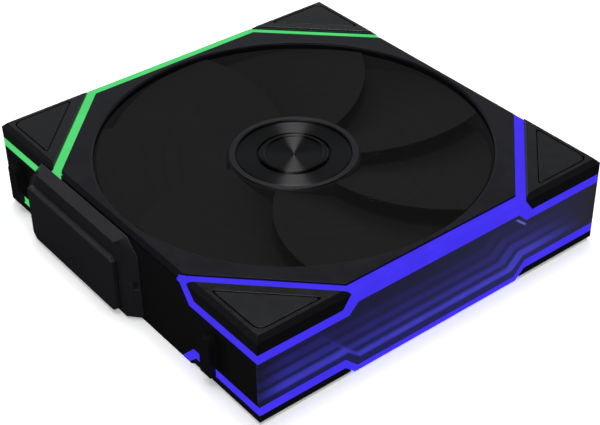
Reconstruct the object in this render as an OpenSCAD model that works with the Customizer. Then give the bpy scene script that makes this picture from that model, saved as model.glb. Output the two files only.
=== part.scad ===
// Case fan, 120 mm class, 28 mm thick, with light guides and mirror windows on two sides and a
// clip-on cable module on a third. Millimetres. Z is the rotor axis and points to the intake
// face. The origin lies on that axis in the plane of the rear face that the screws enter.
// "front" is -Y, "back" is +Y, "left" is -X (the cable module), "right" is +X.

/* [Body] */
// Width between the two linking sides
body_w = 120; // [120:0.5:122]
// Depth over the two mirror windows
body_d = 123.8; // [123.4:0.1:124.6]
// Overall thickness
body_t = 28; // [28:0.5:30]
// Distance between neighbouring screw holes
screw_pitch = 105; // [104.6:0.1:105.4]
// Radius of a screw hole
screw_r = 2.15; // [2:0.05:2.3]
// Radius of the air duct
duct_r = 57; // [56.8:0.1:57.2]

/* [Corners] */
// |x| + |y| of the outer edge of a corner's diagonal light line
diag_out = 92.4; // [92:0.2:93.4]
// |x| + |y| of the inner edge of a corner's diagonal light line
diag_in = 88.4; // [87.6:0.2:89]
// Height of a corner cap
cap_h = 5; // [4.8:0.1:5.2]
// Bevel along a corner cap's top edges
cap_bevel = 1.3; // [0.8:0.1:1.5]
// Thickness of a corner foot
foot_h = 3.2; // [3:0.1:3.4]

/* [Light guides] */
// Depth of a light guide behind the face it shows on
guide_d = 1.6; // [1.5:0.1:1.7]
// Height of the light line below a cap or above a foot
guide_h = 2.8; // [2.6:0.1:3]
// How far the light guides lie below the caps
guide_drop = 1; // [0.8:0.1:1.2]

/* [Impeller] */
// Number of blades
blade_count = 7; // [5:1:9]
// Gap between the blade tips and the duct
tip_gap = 0.8; // [0.6:0.1:1.2]
// Blade thickness at its middle
blade_t = 1.5; // [1.3:0.1:1.7]
// Outer radius of the hub
hub_r = 19.4; // [19.2:0.1:19.6]
// Distance from the intake face down to the hub
hub_drop = 3.8; // [3.7:0.1:4.2]

/* [Motor] */
// Shaft radius
shaft_r = 1.5; // [1.4:0.05:1.6]
// Radial clearance of the shaft in its bearing
shaft_clear = 0.04; // [0.02:0.01:0.08]
// Number of bracket struts
strut_count = 6; // [4:2:8]

/* [Cable module] */
// Length of the module's base along the fan's side
module_l = 57.8; // [56.6:0.2:58.4]
// Where the middle of the module lies along the side
module_y = 18.6; // [18:0.2:19]
// How far the module stands out from the side
module_out = 5; // [4.8:0.1:5.6]

/* [Hidden] */
$fn = 96;
eps = 0.01;

hx = body_w / 2;
hy = body_d / 2;
screw_xy = screw_pitch / 2;

// Levels, from the rear face up
lower_line_z = foot_h;
upper_line_z = body_t - cap_h - guide_h;
cap_z = body_t - cap_h;
guide_top = body_t - guide_drop;
deck_z = guide_top - guide_d;
bezel_top = guide_top + 0.6;
lower_band_z = 0.2;
lower_band_h = 1.8;
upper_band_z = cap_z + 0.2;

// Depths behind the front and back faces
window_t = 0.8;
mirror_t = 0.4;
wall_y = hy - 3.2;
led_board_t = 0.4;
led_t = 0.9;

// Where the light lines bend, as distances from the middle of a face
kink_out = 33.4;
kink_in = 28.4;
kink_run = 3;
side_kink_out = 35.6;
side_kink_in = 33.3;

// Points of a straight-sided outline with each corner turned into an arc
function unit(v) = v / norm(v);
function corner_arc(a, b, c, r, n) =
  let (u = unit(a - b), v = unit(c - b), half = acos(u * v) / 2, bis = unit(u + v),
       o = b + bis * r / sin(half), s = b + u * r / tan(half), e = b + v * r / tan(half),
       a0 = atan2(s[1] - o[1], s[0] - o[0]), a1 = atan2(e[1] - o[1], e[0] - o[0]),
       turn = a1 - a0 > 180 ? a1 - a0 - 360 : a1 - a0 < -180 ? a1 - a0 + 360 : a1 - a0)
  [for (i = [0:n]) o + r * [cos(a0 + turn * i / n), sin(a0 + turn * i / n)]];
function rounded(p, r, n = 6) =
  [for (i = [0:len(p) - 1])
    each corner_arc(p[(i + len(p) - 1) % len(p)], p[i], p[(i + 1) % len(p)], r[i], n)];
function mirrored_x(p) = [for (i = [len(p) - 1:-1:0]) [-p[i][0], p[i][1]]];

// The front left corner's parts, copied to another corner by mirroring
module at_corner(sx, sy) {
  mirror([sx > 0 ? 1 : 0, 0, 0]) mirror([0, sy > 0 ? 1 : 0, 0]) children();
}
module at_side(sy) {
  mirror([0, sy > 0 ? 1 : 0, 0]) children();
}
module four_corners() {
  for (sx = [-1, 1], sy = [-1, 1]) at_corner(sx, sy) children();
}

// Extrudes an outline in (x, z) inwards from the front face, or one in (y, z) from the left face
module from_front(depth) {
  translate([0, -hy + depth, 0]) rotate([90, 0, 0]) linear_extrude(depth) children();
}
module from_left(depth) {
  translate([-hx, 0, 0]) rotate([90, 0, 90]) linear_extrude(depth) children();
}

// Triangle at the front left corner, cut off along |x| + |y| = sum
module corner_area(sum) {
  polygon([[-hx, -hy], [hy - sum, -hy], [-hx, hx - sum]]);
}
// A long bevel cutter lying along Y, which takes size mm off an edge at the origin
module bevel(length, size) {
  rotate([90, 0, 0]) linear_extrude(length, center = true)
    polygon([[-1, size + 1], [-1, -size], [0, -size], [size, 0], [size, 1], [0, size + 1]]);
}

// Screw hole positions, drilled from z0 to z1
module screw_holes(z0, z1, r = screw_r) {
  for (x = [-screw_xy, screw_xy], y = [-screw_xy, screw_xy])
    translate([x, y, z0]) cylinder(r = r, h = z1 - z0);
}

// ---------- light guides ----------

// Upper light line as it shows on the front face
module upper_front_outline() {
  half = [[-kink_in, upper_band_z], [-kink_in - kink_run, upper_line_z], [-hx, upper_line_z],
          [-hx, cap_z], [-kink_out, cap_z], [hy - diag_out, guide_top]];
  polygon(concat(half, mirrored_x(half)));
}
// Upper light line as it shows on the left face, at the front corner
module upper_left_outline() {
  polygon([[-hy, upper_line_z], [-side_kink_in, upper_line_z], [hx - diag_in, guide_top],
           [hx - diag_out, guide_top], [-side_kink_out, cap_z], [-hy, cap_z]]);
}
module lower_front_outline() {
  half = [[-kink_in, lower_band_z + lower_band_h], [-kink_in - 4, lower_line_z + guide_h],
          [-hx, lower_line_z + guide_h], [-hx, lower_line_z], [-kink_in - 4, lower_line_z],
          [-kink_in - 0.8, lower_band_z]];
  polygon(concat(half, mirrored_x(half)));
}
module lower_left_outline() {
  polygon([[-hy, lower_line_z], [-34.6, lower_line_z], [-31.6, lower_band_z],
           [-28.4, lower_band_z], [-33.9, lower_line_z + guide_h], [-hy, lower_line_z + guide_h]]);
}
// Light line that lies in the top face: along the front edge and both diagonals
module top_line_outline() {
  half = [[hy - diag_out, -hy], [-hx, hx - diag_out], [-hx, hx - diag_in], [wall_y - diag_in, -wall_y]];
  polygon(concat(half, mirrored_x(half)));
}

module upper_light_guide(sy) {
  color([0.75, 0.78, 0.95]) at_side(sy) difference() {
    union() {
      from_front(guide_d) upper_front_outline();
      for (sx = [-1, 1]) at_corner(sx, -1) from_left(guide_d) upper_left_outline();
      translate([0, 0, deck_z]) linear_extrude(guide_d) top_line_outline();
    }
    for (s = [0, 180]) rotate([0, 0, s]) translate([-hx, 0, guide_top]) bevel(2 * body_d, 0.7);
  }
}

lower_arm_d = 3.2;
module lower_light_guide(sy) {
  color([0.75, 0.78, 0.95]) at_side(sy) difference() {
    union() {
      from_front(guide_d) lower_front_outline();
      for (sx = [-1, 1]) at_corner(sx, -1) from_left(lower_arm_d) lower_left_outline();
    }
    at_side(sy) link_slots();
  }
}

// ---------- mirror windows and lighting ----------

// The window fills the face between the two light lines
module window_outline() {
  half = [[-kink_in, upper_band_z], [-kink_in - kink_run, upper_line_z], [-hx, upper_line_z],
          [-hx, lower_line_z + guide_h], [-kink_in - 4, lower_line_z + guide_h],
          [-kink_in, lower_band_z + lower_band_h]];
  polygon(concat(half, mirrored_x(half)));
}
module mirror_window(sy) {
  color([0.05, 0.05, 0.08]) at_side(sy) from_front(window_t) window_outline();
}
post_w = 2.4;
lip_h = 0.7;
module rear_mirror(sy) {
  mirror_x = hx - lower_arm_d - 0.4;
  mirror_z = [foot_h + 0.2, cap_z - 0.2];
  color([0.6, 0.6, 0.65]) at_side(sy)
    translate([-mirror_x, -wall_y - mirror_t, mirror_z[0]])
      cube([2 * mirror_x, mirror_t, mirror_z[1] - mirror_z[0]]);
}

led_pitch = 7.5;
led_half_run = 26.25;
upper_board_z = [deck_z - 2.3, deck_z - 0.1];
lower_board_z = [lip_h + 0.2, lip_h + 1.8];
module led_board(sy, z) {
  strip_x = kink_in - 0.2;
  color([0.05, 0.2, 0.1]) at_side(sy) translate([-strip_x, -wall_y - led_board_t, z[0]])
    cube([2 * strip_x, led_board_t, z[1] - z[0]]);
}
module leds(sy) {
  led_w = 3;
  color([0.95, 0.95, 0.8]) at_side(sy)
    for (x = [-led_half_run:led_pitch:led_half_run], z = [upper_board_z, lower_board_z])
      translate([x - led_w / 2, -wall_y - led_board_t - led_t, z[0] + 0.2])
        cube([led_w, led_t, z[1] - z[0] - 0.4]);
}

// ---------- frame ----------

// Slots on the right side that take the link lugs of the next fan
lug_y = [-41.4, 56];
lug_z = [[3.6, 16.2], [4, 16.5]];
lug_w = 4.4;
lug_out = 1.8;
module link_lug_shape(w, depth, z) {
  translate([0, 0, z[0]]) linear_extrude(z[1] - z[0] - w / 2) translate([0, -w / 2]) square([depth, w]);
  translate([0, 0, z[1] - w / 2]) rotate([0, 90, 0]) cylinder(d = w, h = depth);
}
module link_slots() {
  for (i = [0, 1])
    translate([hx - lug_out - 0.2, lug_y[i], 0])
      link_lug_shape(lug_w + 0.6, lug_out + 1, [-1, lug_z[i][1] + 0.3]);
}

// Pegs on the module's back, and the sockets in the frame's sides that they plug into
peg_y = [-6, 38];
peg_w = 3;
peg_z = [10, 18];
peg_depth = 2;
module pegs(grow) {
  for (y = peg_y) translate([-hx - 0.2, y - peg_w / 2 - grow, peg_z[0] - grow])
    cube([peg_depth + 0.2 + grow, peg_w + 2 * grow, peg_z[1] - peg_z[0] + 2 * grow]);
}

// Recess for the contact board
contact_y = 13;
contact_z = 14;
link_board_size = [0.8, 15, 10];
module link_recess(grow) {
  translate([-hx - 1, contact_y - link_board_size[1] / 2 - grow, contact_z - link_board_size[2] / 2 - grow])
    cube([link_board_size[0] + 1.4 + grow, link_board_size[1] + 2 * grow, link_board_size[2] + 2 * grow]);
}

rim_t = 1;
rim_h = 2.2;
board_r = 16.5;
wire_w = 4.4;
wire_t = 0.6;
wire_z = 2.9;
wire_wall_x = -hx + 2.1;
wire_turn_z = 6;
wire_end_y = [5.8, 9.2];
// Route of the flat lead from the motor board to a contact board: along the strut, up inside
// the frame's side wall, across to the contact board and into its back
module wire_path(grow) {
  module run(a, b) {
    translate([a[0] - grow, a[1] - grow, a[2] - grow])
      cube([b[0] - a[0] + 2 * grow, b[1] - a[1] + 2 * grow, b[2] - a[2] + 2 * grow]);
  }
  x1 = wire_wall_x + wire_t;
  run([wire_wall_x, -wire_w / 2, wire_z], [-board_r - 0.3, wire_w / 2, wire_z + wire_t]);
  run([wire_wall_x, -wire_w / 2, wire_z], [x1, wire_w / 2, wire_turn_z + 1.6]);
  run([wire_wall_x, -wire_w / 2, wire_turn_z], [x1, wire_end_y[1], wire_turn_z + 1.6]);
  run([wire_wall_x, wire_end_y[0], wire_turn_z], [x1, wire_end_y[1], contact_z]);
  run([-hx + 0.4 + link_board_size[0], wire_end_y[0], contact_z - 1], [x1, wire_end_y[1], contact_z]);
}
module frame() {
  color([0.09, 0.09, 0.1]) difference() {
    union() {
      difference() {
        translate([-hx, -wall_y, 0]) cube([2 * hx, 2 * wall_y, deck_z]);
        // room for the caps and feet
        four_corners() {
          translate([0, 0, cap_z]) linear_extrude(cap_h) corner_area(diag_out);
          translate([0, 0, -1]) linear_extrude(foot_h + 1) corner_area(diag_out);
        }
        // room for the light guides in the side faces
        four_corners() {
          from_left(guide_d) upper_left_outline();
          from_left(lower_arm_d) lower_left_outline();
        }
      }
      // posts behind the ends of the windows, and lips under the lower light strips
      four_corners() translate([-hx, -hy + window_t, lower_line_z + guide_h])
        cube([post_w, hy - wall_y - window_t + eps, upper_line_z - lower_line_z - guide_h]);
      for (sy = [-1, 1]) at_side(sy) translate([-kink_in, -hy + guide_d + 0.05, 0])
        cube([2 * kink_in, hy - wall_y - guide_d - 0.05 + eps, lip_h]);
      // link lugs on the left side
      for (i = [0, 1]) translate([-hx - lug_out, lug_y[i], 0]) {
        link_lug_shape(lug_w, lug_out, lug_z[i]);
        link_lug_shape(lug_w, lug_out + 1, [lower_line_z + guide_h + 0.2, lug_z[i][1]]);
      }
    }
    translate([0, 0, -1]) cylinder(r = duct_r, h = body_t + 2, $fn = 180);
    translate([0, 0, -1]) cylinder(r = duct_r + rim_t + 0.1, h = rim_h + 1.1, $fn = 180);
    screw_holes(foot_h - 1, cap_z + 1);
    // shallow pockets beside the lugs
    translate([-hx - 1, -49.6, lower_line_z + guide_h + 0.4]) cube([2.5, 5.6, 11.8]);
    translate([-hx - 1, 48, lower_line_z + guide_h + 0.4]) cube([2.5, 5.4, 12]);
    link_slots();
    pegs(0.15);
    mirror([1, 0, 0]) pegs(0.15);
    link_recess(0.1);
    mirror([1, 0, 0]) link_recess(0.1);
    for (s = [0, 1]) mirror([s, 0, 0]) wire_path(0.25);
  }
}

// ---------- bezel ----------

bezel_inset = 0.2;
bezel_edge = 1.1;
module bezel() {
  bezel_x = hx - bezel_inset;
  cut_x = diag_in - wall_y;
  cut_y = diag_in - bezel_x;
  color([0.16, 0.16, 0.18]) difference() {
    translate([0, 0, deck_z]) linear_extrude(bezel_top - deck_z)
      polygon([[-cut_x, -wall_y], [cut_x, -wall_y], [bezel_x, -cut_y], [bezel_x, cut_y],
               [cut_x, wall_y], [-cut_x, wall_y], [-bezel_x, cut_y], [-bezel_x, -cut_y]]);
    translate([0, 0, deck_z - 1]) cylinder(r = duct_r, h = 4, $fn = 180);
    translate([0, 0, bezel_top - 0.5]) cylinder(r1 = duct_r - eps, r2 = duct_r + 1, h = 1, $fn = 180);
    for (s = [0, 180]) rotate([0, 0, s]) translate([-bezel_x, 0, bezel_top]) bevel(2 * body_d, bezel_edge);
    // room for the sloping ends of the light guides
    for (sx = [-1, 1], sy = [-1, 1]) at_corner(sx, sy) from_left(guide_d) upper_left_outline();
  }
}

// ---------- corners ----------

pad_inset = 2.4;
pad_sum = diag_out + 4.6;
pad_t = 1.4;
// Rounded triangle of the soft pad in a cap, smaller all round by gap
module pad_outline(gap) {
  x0 = -hx + pad_inset + gap;
  y0 = -hy + pad_inset + gap;
  sum = pad_sum + gap * sqrt(2);
  polygon(rounded([[x0, y0], [-sum - y0, y0], [x0, -sum - x0]], [2.6, 0.5, 0.5]));
}
module corner_cap(sx, sy) {
  color([0.1, 0.1, 0.11]) at_corner(sx, sy) difference() {
    translate([0, 0, cap_z]) linear_extrude(cap_h) corner_area(diag_out);
    from_front(guide_d) upper_front_outline();
    from_left(guide_d) upper_left_outline();
    translate([-hx, -hy + 15, body_t]) bevel(body_d, cap_bevel);
    translate([-hx + 15, -hy, body_t]) rotate([0, 0, 90]) bevel(body_w, cap_bevel);
    translate([-diag_out / 2, -diag_out / 2, body_t]) rotate([0, 0, 225]) bevel(body_w, 0.5);
    translate([0, 0, body_t - pad_t]) linear_extrude(pad_t + 1) pad_outline(0);
    // screw seat below the pad
    translate([-screw_xy, -screw_xy, cap_z - 1]) cylinder(r = screw_r, h = cap_h + 1);
    translate([-screw_xy, -screw_xy, cap_z + 1.6]) cylinder(r = 4, h = cap_h);
  }
}
module corner_pad(sx, sy) {
  color([0.13, 0.13, 0.14]) at_corner(sx, sy)
    translate([0, 0, body_t - pad_t]) linear_extrude(pad_t) pad_outline(0.3);
}
module corner_foot(sx, sy) {
  color([0.07, 0.07, 0.07]) difference() {
    at_corner(sx, sy) difference() {
      linear_extrude(foot_h) corner_area(diag_out);
      from_front(guide_d) lower_front_outline();
      from_left(lower_arm_d) lower_left_outline();
      translate([-hx, -hy + 15, 0]) rotate([0, 90, 0]) bevel(body_d, 0.6);
      translate([-hx + 15, -hy, 0]) rotate([0, 0, 90]) rotate([0, 90, 0]) bevel(body_w, 0.6);
      translate([-screw_xy, -screw_xy, -1]) cylinder(r = screw_r, h = foot_h + 2);
    }
    translate([0, 0, -1]) cylinder(r = duct_r + rim_t + 0.1, h = foot_h + 2, $fn = 180);
    link_slots();
  }
}

// ---------- impeller ----------

hub_top = body_t - hub_drop;
hub_bottom = 5.5;
cup_top_z = 21.8;
tip_r = duct_r - tip_gap;
root_r = hub_r - 0.3;
r_steps = 8;
c_steps = 12;
blade_span = [80, 76];
blade_sweep = 16;
blade_z_top = [hub_top - 0.6, bezel_top - 1.3];
blade_z_bottom = [hub_bottom + 7.5, 14.5];
// Position along the blade: u runs from root to tip, s from the leading to the trailing edge
function blade_r(u) = root_r + (tip_r - root_r) * u;
function mix(a, u) = a[0] + (a[1] - a[0]) * u;
function blade_angle(u, s) = blade_sweep * pow(u, 1.4) + mix(blade_span, u) * (s - 0.5);
function blade_thick(s) = blade_t * (0.35 + 0.65 * sin(180 * s));
function blade_drop(s) = 0.8 * s + 0.2 * s * s - 0.14 * sin(180 * s);
function blade_z(u, s) = mix(blade_z_top, u) - (mix(blade_z_top, u) - mix(blade_z_bottom, u)) * blade_drop(s);
function blade_point(u, s, side) =
  let (a = blade_angle(u, s), r = blade_r(u))
  [r * cos(a), r * sin(a), blade_z(u, s) + side * blade_thick(s) / 2];
module blade() {
  row = c_steps + 1;
  sheet = row * (r_steps + 1);
  points = [for (side = [1, -1], i = [0:r_steps], j = [0:c_steps])
    blade_point(i / r_steps, j / c_steps, side)];
  function quad(a, b, c, d) = [[a, b, c], [a, c, d]];
  top = [for (i = [0:r_steps - 1], j = [0:c_steps - 1])
    each quad(i * row + j, i * row + j + 1, (i + 1) * row + j + 1, (i + 1) * row + j)];
  bottom = [for (f = top) [f[0] + sheet, f[2] + sheet, f[1] + sheet]];
  root = [for (j = [0:c_steps - 1]) each quad(j, j + sheet, j + 1 + sheet, j + 1)];
  tip0 = r_steps * row;
  tip = [for (j = [0:c_steps - 1]) each quad(tip0 + j, tip0 + j + 1, tip0 + j + 1 + sheet, tip0 + j + sheet)];
  lead = [for (i = [0:r_steps - 1])
    each quad(i * row, (i + 1) * row, (i + 1) * row + sheet, i * row + sheet)];
  trail = [for (i = [0:r_steps - 1])
    each quad(i * row + c_steps, i * row + c_steps + sheet, (i + 1) * row + c_steps + sheet,
              (i + 1) * row + c_steps)];
  polyhedron(points, concat(top, bottom, root, tip, lead, trail));
}
yoke_r = 17.4;
module impeller() {
  color([0.06, 0.06, 0.065]) union() {
    rotate_extrude($fn = 120) polygon([[yoke_r, hub_bottom], [hub_r, hub_bottom], [hub_r, hub_top - 0.8],
      [hub_r - 0.5, hub_top - 0.3], [hub_r - 0.5, cup_top_z + 0.9], [4, cup_top_z + 0.9],
      [4, cup_top_z], [yoke_r, cup_top_z]]);
    for (i = [0:blade_count - 1]) rotate([0, 0, i * 360 / blade_count]) blade();
  }
}

// ---------- hub dress ----------

trim_r = [16.8, hub_r - 0.55];
disc_z = cup_top_z + 0.9;
module hub_trim_ring() {
  color([0.3, 0.3, 0.31]) rotate_extrude($fn = 120)
    polygon([[trim_r[0], disc_z], [trim_r[1], disc_z], [trim_r[1], hub_top - 0.3],
             [trim_r[1] - 0.3, hub_top], [trim_r[0] + 0.3, hub_top], [trim_r[0], hub_top - 0.3]]);
}
module hub_disc() {
  face = disc_z + 1.1;
  color([0.05, 0.05, 0.05]) rotate_extrude($fn = 120)
    polygon([[0, disc_z], [trim_r[0] - 0.05, disc_z], [trim_r[0] - 0.05, face - 0.3], [16.2, face - 0.1],
             [10.8, face - 0.2], [10.6, face - 0.7], [10.1, face - 0.7], [9.9, face - 0.1],
             [9.6, face + 0.15], [8.7, face + 0.15], [8.4, face - 0.15], [0.9, face - 0.45],
             [0.7, face - 0.25], [0, face - 0.15]]);
}

// ---------- rotor inside ----------

module rotor_yoke() {
  color([0.55, 0.55, 0.57]) rotate_extrude($fn = 120)
    polygon([[shaft_r, cup_top_z - 3.2], [3, cup_top_z - 3.2], [3, cup_top_z - 0.8],
             [yoke_r - 0.8, cup_top_z - 0.8], [yoke_r - 0.8, hub_bottom + 0.6], [yoke_r, hub_bottom + 0.6],
             [yoke_r, cup_top_z], [shaft_r, cup_top_z]]);
}
magnet_r = [14.8, yoke_r - 0.8];
magnet_z = [6.6, 15.6];
module magnet_ring() {
  color([0.2, 0.2, 0.2]) translate([0, 0, magnet_z[0]]) difference() {
    cylinder(r = magnet_r[1], h = magnet_z[1] - magnet_z[0]);
    translate([0, 0, -1]) cylinder(r = magnet_r[0], h = magnet_z[1] - magnet_z[0] + 2);
  }
}
shaft_z = [2.2, cup_top_z];
ring_z = 3;
ring_h = 0.5;
module shaft() {
  tip = 0.4;
  groove_r = shaft_r - 0.4;
  color("silver") rotate_extrude()
    polygon([[0, shaft_z[0]], [shaft_r - tip, shaft_z[0]], [shaft_r, shaft_z[0] + tip],
             [shaft_r, ring_z - 0.15], [groove_r, ring_z - 0.15], [groove_r, ring_z + ring_h + 0.15],
             [shaft_r, ring_z + ring_h + 0.15], [shaft_r, shaft_z[1]], [0, shaft_z[1]]]);
}

// ---------- bearing and stator ----------

tube_r = [3.8, 4.6];
base_t = 2.4;
tube_z = [1.4, 17.6];
module bearing_tube() {
  color([0.75, 0.6, 0.3]) rotate_extrude()
    polygon([[0, tube_z[0]], [tube_r[1], tube_z[0]], [tube_r[1], tube_z[1]], [tube_r[0], tube_z[1]],
             [tube_r[0], tube_z[0] + 0.4], [0, tube_z[0] + 0.4]]);
}
module thrust_plate() {
  color([0.85, 0.85, 0.8]) translate([0, 0, tube_z[0] + 0.4]) cylinder(r = tube_r[0], h = 0.35);
}
module retaining_ring() {
  color([0.9, 0.9, 0.85]) translate([0, 0, ring_z]) difference() {
    cylinder(r = tube_r[0], h = ring_h);
    translate([0, 0, -1]) cylinder(r = shaft_r - 0.3, h = 3);
  }
}
module bearing_sleeve() {
  color([0.7, 0.45, 0.25]) translate([0, 0, ring_z + ring_h + 0.1]) difference() {
    cylinder(r = tube_r[0], h = 13.4);
    translate([0, 0, -1]) cylinder(r = shaft_r + shaft_clear, h = 16);
  }
}
stator_r = 14.2;
stator_z = [8, 13.4];
tooth_w = 3.4;
pole_count = 4;
// One stator pole from above: a tooth with a wide shoe that faces the magnet
module pole_outline(grow = 0) {
  translate([0, -tooth_w / 2 - grow]) square([stator_r - 1, tooth_w + 2 * grow]);
  intersection() {
    difference() {
      circle(r = stator_r + min(grow, 0));
      circle(r = stator_r - 1.8 - grow);
    }
    polygon([[0, 0], [20, -14.5], [20, 14.5]]);
  }
}
module stator_outline(grow = 0) {
  difference() {
    union() {
      circle(r = 6.6 + grow);
      for (i = [0:pole_count - 1]) rotate(i * 360 / pole_count + 45) pole_outline(grow);
    }
    circle(r = tube_r[1]);
  }
}
module stator_core() {
  color([0.5, 0.5, 0.52]) translate([0, 0, stator_z[0]]) linear_extrude(stator_z[1] - stator_z[0])
    stator_outline();
}
insulator_t = 0.8;
module stator_insulator(z) {
  color([0.9, 0.9, 0.88]) translate([0, 0, z]) linear_extrude(insulator_t) stator_outline();
}
coil_r = [7.4, 12];
coil_t = 1.5;
module stator_coils() {
  z0 = stator_z[0] - insulator_t;
  z1 = stator_z[1] + insulator_t;
  color([0.7, 0.35, 0.15]) for (i = [0:pole_count - 1]) rotate([0, 0, i * 360 / pole_count + 45])
    difference() {
      translate([coil_r[0], -tooth_w / 2 - coil_t, z0 - coil_t])
        cube([coil_r[1] - coil_r[0], tooth_w + 2 * coil_t, z1 - z0 + 2 * coil_t]);
      translate([coil_r[0] - 1, -tooth_w / 2, z0])
        cube([coil_r[1] - coil_r[0] + 2, tooth_w, z1 - z0]);
    }
}
motor_board_z = 3.2;
motor_board_t = 1;
module motor_board() {
  color([0.08, 0.3, 0.15]) translate([0, 0, motor_board_z]) difference() {
    cylinder(r = board_r, h = motor_board_t);
    translate([0, 0, -1]) cylinder(r = tube_r[1] + 0.1, h = 4);
  }
}
// Hall sensor, driver chip and three capacitors, soldered to the board
module motor_board_parts() {
  top = motor_board_z + motor_board_t;
  color([0.1, 0.1, 0.1]) {
    translate([-1.5, 8.5, top]) cube([3, 1.6, 1]);
    translate([-9.5, -3, top]) cube([4.4, 5, 1.1]);
    for (x = [-3, 0, 3]) translate([x + 2, -11, top]) cube([1.2, 2, 0.9]);
  }
}

// ---------- bracket ----------

cup_r = 20.4;
cup_h = 4.7;
strut_w = 2.4;
strut_z = [0.6, 4.7];
module motor_bracket() {
  color([0.09, 0.09, 0.1]) difference() {
    union() {
      cylinder(r = cup_r, h = base_t, $fn = 120);
      difference() {
        cylinder(r = cup_r, h = cup_h, $fn = 120);
        translate([0, 0, base_t]) cylinder(r = cup_r - 1.4, h = cup_h, $fn = 120);
      }
      // struts, of which the two to the linking sides are wide enough for the wires
      intersection() {
        union() {
          for (s = [0, 180]) rotate([0, 0, s]) translate([cup_r - 0.5, -wire_w / 2 - 1.2, strut_z[0]])
            cube([duct_r, wire_w + 2.4, strut_z[1] - strut_z[0]]);
          for (i = [1:strut_count - 1]) if (i != strut_count / 2)
            rotate([0, 0, i * 360 / strut_count]) translate([cup_r - 1, 0, 0]) rotate([0, 0, -14])
              translate([0, -strut_w / 2, strut_z[0]])
                cube([duct_r, strut_w, strut_z[1] - strut_z[0]]);
        }
        union() {
          cylinder(r = duct_r + 0.4, h = rim_h, $fn = 180);
          cylinder(r = duct_r - 0.05, h = body_t, $fn = 180);
        }
      }
      difference() {
        cylinder(r = duct_r + rim_t, h = rim_h, $fn = 180);
        translate([0, 0, -1]) cylinder(r = duct_r, h = rim_h + 2, $fn = 180);
      }
    }
    // seat of the bearing tube, recess of the rear cover and channel of the wires
    translate([0, 0, tube_z[0]]) cylinder(r = tube_r[1] + 0.02, h = cup_h);
    translate([0, 0, -1]) cylinder(r = 17.6, h = 1.6);
    for (s = [0, 180]) rotate([0, 0, s]) translate([13, -wire_w / 2 - 0.2, wire_z])
      cube([duct_r, wire_w + 0.4, cup_h]);
  }
  // pegs that carry the motor board
  color([0.09, 0.09, 0.1]) for (a = [45:90:315]) rotate([0, 0, a])
    translate([board_r - 3, 0, base_t - eps]) cylinder(r = 1, h = motor_board_z - base_t + eps);
}
module motor_cover() {
  color([0.2, 0.2, 0.21]) translate([0, 0, 0.1]) cylinder(r = 17.3, h = 0.5);
}
module motor_wires(side) {
  color([0.12, 0.12, 0.12]) mirror([side > 0 ? 1 : 0, 0, 0]) union() wire_path(0);
}

// ---------- link contacts ----------

contact_count = 7;
contact_pitch = 1.9;
module link_board() {
  translate([-hx + 0.4, contact_y - link_board_size[1] / 2, contact_z - link_board_size[2] / 2])
    cube(link_board_size);
}
module link_contacts() {
  for (i = [0:contact_count - 1])
    translate([-hx + 0.1, contact_y + (i - (contact_count - 1) / 2) * contact_pitch - 0.6, contact_z - 3])
      cube([0.3, 1.2, 6]);
}

// ---------- cable module ----------

module_gap = 0.1;
base_x = [module_gap, module_gap + 0.2, module_out - 1.9];
base_z = [0.4, body_t - 2];
cover_inset = 3.4;
// Outline in (y, z) of the base, smaller all round at its front than at its back. near and far
// give the inset, the width and the height of the cut-off upper corner at each end.
module base_outline(bottom, drop, near, far) {
  y0 = -module_l / 2;
  z1 = base_z[1] - drop;
  polygon([[y0 + bottom + 1, base_z[0]], [-y0 - bottom - 1, base_z[0]], [-y0 - bottom, base_z[0] + 1],
           [-y0 - far[0], z1 - far[2]], [-y0 - far[0] - far[1], z1], [y0 + near[0] + near[1], z1],
           [y0 + near[0], z1 - near[2]], [y0 + bottom, base_z[0] + 1]]);
}
// Extrudes a (y, z) outline outwards from depth d0 to d1 outside the left face
module out_of_side(d0, d1) {
  translate([-hx - d1, module_y, 0]) rotate([90, 0, 90]) linear_extrude(d1 - d0) children();
}
module module_room() {
  out_of_side(base_x[0] + 0.8, module_out) translate([-17, 4]) square([34, 12.5]);
}
module cable_inlet() {
  translate([-hx - base_x[2] - 0.6, module_y + 15, 5]) cube([2, module_l / 2, 6]);
}
module module_base() {
  color([0.11, 0.11, 0.12]) difference() {
    union() {
      hull() {
        out_of_side(base_x[0], base_x[1]) base_outline(0, 0, [0, 4.6, 4.4], [0, 9, 10]);
        out_of_side(base_x[2] - eps, base_x[2]) base_outline(3.2, 2, [4.9, 2.1, 6.1], [3.9, 7.1, 9]);
      }
      pegs(0);
    }
    module_room();
    cable_inlet();
    // snap notches in both ends, and room for the contacts
    for (s = [-1, 1]) translate([-hx - 3.4, module_y + s * module_l / 2 - 1.6, 10.6]) cube([2.9, 3.2, 2.6]);
    translate([-hx - 1.2, contact_y - 7, contact_z - 3.5]) cube([1.5, 14, 7]);
  }
}
cover_z = [0.8, 19.3];
module cover_outline(inset) {
  y0 = -module_l / 2 + base_x[2] + cover_inset + inset;
  polygon([[y0 + 1.6, cover_z[0] + inset], [-y0 - 1.6, cover_z[0] + inset], [-y0, cover_z[0] + 1.6 + inset],
           [-y0, cover_z[1] - 1.2 - inset], [-y0 - 1.2, cover_z[1] - inset],
           [y0 + 1.2, cover_z[1] - inset], [y0, cover_z[1] - 1.2 - inset], [y0, cover_z[0] + 1.6 + inset]]);
}
module module_cover() {
  color([0.11, 0.11, 0.12]) difference() {
    union() {
      out_of_side(base_x[2] + 0.02, module_out - 0.5) cover_outline(0);
      hull() {
        out_of_side(module_out - 0.5 - eps, module_out - 0.5) cover_outline(0);
        out_of_side(module_out - eps, module_out) cover_outline(0.5);
      }
    }
    out_of_side(base_x[2] - 1, module_out - 0.9) translate([-17, 4]) square([34, 12.5]);
  }
}
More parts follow.
